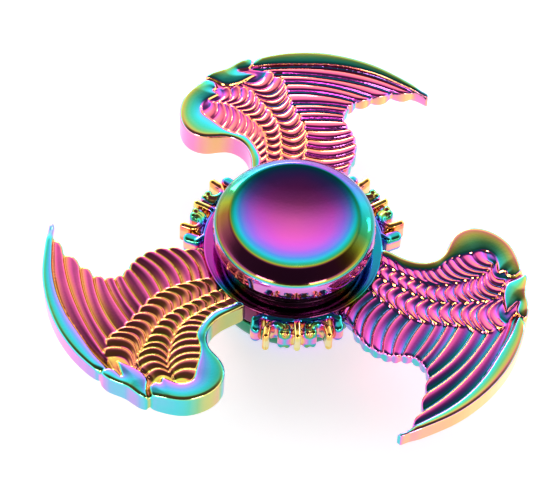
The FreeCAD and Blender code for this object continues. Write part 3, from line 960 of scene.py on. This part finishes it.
def make_ring(material):
    profile = rounded([(BEARING_R, RING_HALF, BORE_FILLET), (BEARING_R, -RING_HALF, BORE_FILLET),
                       (RING_R, -RING_HALF, RING_FILLET), (RING_R, RING_HALF, RING_FILLET)])
    verts, faces = lathe(profile, True)
    piece = make_piece("hub_ring", verts, faces, material, "spinning_frame",
                       ["wing_frame"])
    paint(piece, "film", np.interp(from_front(verts), RING_TURNS, RING_ORDERS))


# Upper thumb cap: a dish with a narrow rim, a bevel down to the wall, and below the wall a boss
# that stands on the inner race, a post in its bore and a hole for the stud. The lower cap is its
# mirror image.
DISH_R, DISH_DEPTH = 9.75, 1.5
RIM_WIDTH, RIM_FILLET = 0.4, 0.2
BEVEL_FOOT, BEVEL_FILLET = 8.0, 1.6
WALL_FOOT, WALL_FILLET = 4.6, 0.5
BOSS_R, BOSS_FOOT, BOSS_FILLET = 5.6, 3.5, 0.3
POST_R, POST_FOOT = 3.97, 0.06
HOLE_R, HOLE_TOP = 2.5, 6.2
SMALL_FILLET = 0.1
DISH_POINTS, DISH_MARGIN = 40, 0.25


def cap_profile():
    """Half section of the upper thumb cap, from the middle of its dish to its stud hole."""
    ball_r = (DISH_R ** 2 + DISH_DEPTH ** 2) / (2 * DISH_DEPTH)
    dish = []
    for r in np.linspace(0, DISH_R - DISH_MARGIN, DISH_POINTS):
        dish.append((r, CAP_TOP - DISH_DEPTH + ball_r - math.sqrt(ball_r ** 2 - r ** 2), 0))
    outer = [
        (DISH_R, CAP_TOP, RIM_FILLET), (DISH_R + RIM_WIDTH, CAP_TOP, RIM_FILLET),
        (CAP_R, BEVEL_FOOT, BEVEL_FILLET), (CAP_R, WALL_FOOT, WALL_FILLET),
        (BOSS_R, WALL_FOOT, BOSS_FILLET), (BOSS_R, BOSS_FOOT, SMALL_FILLET),
        (POST_R, BOSS_FOOT, SMALL_FILLET), (POST_R, POST_FOOT, SMALL_FILLET),
        (HOLE_R, POST_FOOT, SMALL_FILLET), (HOLE_R, HOLE_TOP, SMALL_FILLET), (0, HOLE_TOP, 0),
    ]
    return rounded(dish + outer)


# Coating on a cap: order along the dish from its middle to its rim, at the front and the back,
# whose difference is painted sheen for the display side; order of the bevel by bearing, painted
# sheen that darkens towards the front as painted shade; then order and paleness of each cap's
# wall, painted reflections: pale on the upper cap, dark on the lower cap.
DISH_SHARES = [0.0, 0.35, 0.6, 0.75, 0.87, 0.95, 1.0]
DISH_FRONT = [0.41, 0.435, 0.495, 0.57, 0.66, 0.78, 0.88]
DISH_BACK = [0.41, 0.42, 0.45, 0.49, 0.54, 0.60, 0.72]
BEVEL_TURNS = [-180, -150, -120, -105, -88, -65, -35, 35, 60, 90, 120, 150, 180]
BEVEL_ORDERS = [0.52, 0.62, 0.74, 0.84, 0.92, 0.97, 1.00, 0.99, 0.86, 0.74, 0.62, 0.50, 0.52]
UPPER_WALL, LOWER_WALL = (0.45, 0.9), (0.77, 0.15)
BEVEL_FADE, CAP_WALL_FADE = 0.3, 0.6
# Paler middle of the dish: painted highlight.
DISH_PALE = 0.18


def cap_film(places, wall):
    """Order and paleness of the coating on a cap: rings of colour in the dish that are wider
    at the front, and a wall with its own order and paleness. The front-to-back change, the
    bevel's order by bearing and the wall's order and paleness are painted sheen, shade and
    reflection, and the paler middle of the dish is a painted highlight."""
    r = np.hypot(places[:, 0], places[:, 1])
    front = 0.5 - 0.5 * places[:, 1] / np.maximum(r, 0.01)
    share = r / DISH_R
    dish = front * np.interp(share, DISH_SHARES, DISH_FRONT)
    dish = dish + (1 - front) * np.interp(share, DISH_SHARES, DISH_BACK)
    bevel = np.interp(from_front(places), BEVEL_TURNS, BEVEL_ORDERS)
    film = mix(dish, bevel, fade(r - DISH_R, BEVEL_FADE))
    below = fade(BEVEL_FOOT - np.abs(places[:, 2]), CAP_WALL_FADE) * (r > DISH_R)
    wall_order, wall_pale = wall
    pale = DISH_PALE * np.clip(1 - share, 0, 1) + wall_pale * below
    return mix(film, wall_order, below), pale


def make_caps(material):
    verts, faces = lathe(cap_profile(), False)
    for name, flip, wall in (("cap_upper_skin", 1, UPPER_WALL), ("cap_lower_skin", -1, LOWER_WALL)):
        placed = verts * (1, flip, flip)
        piece = make_piece(name, placed, faces, material, "thumb_grip",
                           ["thumb_cap_" + name.split("_")[1]])
        film, pale = cap_film(placed * (1, flip, 1), wall)
        paint(piece, "film", film)
        paint(piece, "pale", pale)


# ------------------------------------------------------------------ floor, light and camera
FLOOR_GLOW = 0.48
FLOOR_HALF = 3.0


def make_floor():
    """White paper on a light table."""
    s = Finish("floor_paper")
    paper = s.ramp(s.noise(3.0, 2.0), [(NOISE_LOW, "f6f5f7"), (NOISE_HIGH, "fafafb")])
    s.set(Base_Color=paper, Roughness=0.6, Emission_Color=paper, Emission_Strength=FLOOR_GLOW)
    mesh = bpy.data.meshes.new("floor")
    signs = [(-1, -1), (1, -1), (1, 1), (-1, 1)]
    corners = [(i * FLOOR_HALF, j * FLOOR_HALF, FLOOR_Z) for i, j in signs]
    mesh.from_pydata(corners, [], [(0, 1, 2, 3)])
    mesh.materials.append(s.material)
    floor = bpy.data.objects.new("floor", mesh)
    bpy.context.scene.collection.objects.link(floor)


# Light of the tent: brightness by how near a direction is to the middle of the opening. The
# skirt's light fades in between two heights, the gap's sides between two distances from the
# middle, and the hem's light between two lower heights.
OPENING = Vector((0.0, -0.6, 0.8))
OPENING_LEVELS = [(0.0, 0.88), (0.08, 0.80), (0.18, 0.66), (0.286, 0.50), (0.38, 0.30), (0.47, 0.14),
                  (0.6, 0.06), (1.0, 0.035)]
SKIRT_HEIGHTS = (0.42, 0.28)
GAP_SIDES = (0.30, 0.48)
HEM_HEIGHTS = (0.20, 0.10)
TENT_STRENGTH = 2.1


def make_world():
    """White tent with a dark opening above the display side. The tent's skirt stays bright
    under the opening, except for a gap in front that ends above its hem."""
    world = bpy.data.worlds.new("tent")
    bpy.context.scene.world = world
    world.use_nodes = True
    tent = Nodes(world.node_tree)
    direction = tent.node("ShaderNodeTexCoord").outputs["Generated"]
    opening = tent.ramp(tent.dot(direction, OPENING), OPENING_LEVELS)
    parts = tent.node("ShaderNodeSeparateXYZ")
    tent.link(direction, parts.inputs[0])
    height = parts.outputs["Z"]
    aside = tent.math("ABSOLUTE", parts.outputs["X"])
    low = tent.spread(height, 0.0, 1.0, *SKIRT_HEIGHTS, "SMOOTHSTEP")
    beside = tent.spread(aside, 0.0, 1.0, *GAP_SIDES, "SMOOTHSTEP")
    hem = tent.spread(height, 0.0, 1.0, *HEM_HEIGHTS, "SMOOTHSTEP")
    skirt = tent.math("MAXIMUM", tent.math("MULTIPLY", low, beside), hem)
    background = tent.node("ShaderNodeBackground")
    background.inputs["Strength"].default_value = TENT_STRENGTH
    tent.link(tent.math("MAXIMUM", opening, skirt), background.inputs["Color"])
    output = tent.node("ShaderNodeOutputWorld")
    tent.link(background.outputs["Background"], output.inputs["Surface"])


# Softboxes: name, place, width and height in metres, and brightness.
SOFTBOXES = [
    ("back_softbox", (-0.20, 0.70, 0.15), (0.44, 0.18), 12),
    ("far_softbox", (0.60, 0.42, 0.18), (0.14, 0.12), 10),
    ("left_softbox", (-0.42, -0.68, 0.25), (0.28, 0.16), 12),
    ("right_softbox", (0.42, -0.68, 0.25), (0.28, 0.16), 12),
]


def softbox(name, place, size, radiance):
    """Rectangular soft light aimed at the spinner, with the brightness that its face shows."""
    light = bpy.data.lights.new(name, "AREA")
    light.shape = "RECTANGLE"
    light.size, light.size_y = size
    light.energy = radiance * math.pi * size[0] * size[1]
    lamp = bpy.data.objects.new(name, light)
    bpy.context.scene.collection.objects.link(lamp)
    lamp.location = place
    lamp.rotation_euler = (-Vector(place)).to_track_quat("-Z", "Y").to_euler()


CAMERA_PITCH, CAMERA_ROLL = math.radians(53.5), math.radians(3.4)
CAMERA_AIM = Vector((-2.23, 0.98, 1.4)) * MM
CAMERA_REACH = 470.6
CAMERA_LENS = 196.8


def make_camera():
    forward = Vector((0, math.cos(CAMERA_PITCH), -math.sin(CAMERA_PITCH)))
    level = Vector((1, 0, 0))
    up = Vector((0, math.sin(CAMERA_PITCH), math.cos(CAMERA_PITCH)))
    right = math.cos(CAMERA_ROLL) * level + math.sin(CAMERA_ROLL) * up
    above = -math.sin(CAMERA_ROLL) * level + math.cos(CAMERA_ROLL) * up
    turn = Matrix((right, above, -forward)).transposed().to_4x4()
    data = bpy.data.cameras.new("camera")
    data.lens = CAMERA_LENS
    data.sensor_width = 36
    data.clip_start = 0.01
    camera = bpy.data.objects.new("camera", data)
    camera.matrix_world = Matrix.Translation(CAMERA_AIM - forward * CAMERA_REACH * MM) @ turn
    bpy.context.scene.collection.objects.link(camera)
    bpy.context.scene.camera = camera


def dress_bearing():
    """Give the bearing's and the stud's own CAD nodes their finishes."""
    finishes = {
        "bearing_steel": steel("bearing_steel_finish", "8e9094", "b4b6ba", 0.16, 500),
        "ball_steel": steel("ball_steel_finish", "a4a6aa", "c8cacd", 0.05, 300),
        "cage_steel": steel("cage_steel_finish", "7c7a76", "a09e9a", 0.30, 900),
        "shield_steel": steel("shield_steel_finish", "5c5e62", "86888c", 0.24, 400),
        "spring_steel": steel("spring_steel_finish", "4c4e54", "6c6e74", 0.20, 700),
        "black_steel": steel("black_steel_finish", "141416", "2a2a2e", 0.35, 600),
    }
    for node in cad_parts.values():
        for slot in node.material_slots:
            base = slot.material.name.split(".")[0]
            if base in finishes:
                slot.material = finishes[base]


casting = coating("rainbow_casting_finish", 0.9, COATING)
make_wings(casting)
make_crests(casting)
cap_finish = coating("rainbow_cap_finish", 0.0, CAP_COATING_AND_SHADE)
make_ring(cap_finish)
make_caps(cap_finish)
dress_bearing()
make_floor()
make_world()
for box in SOFTBOXES:
    softbox(*box)
make_camera()
bpy.context.scene.view_settings.view_transform = "Standard"
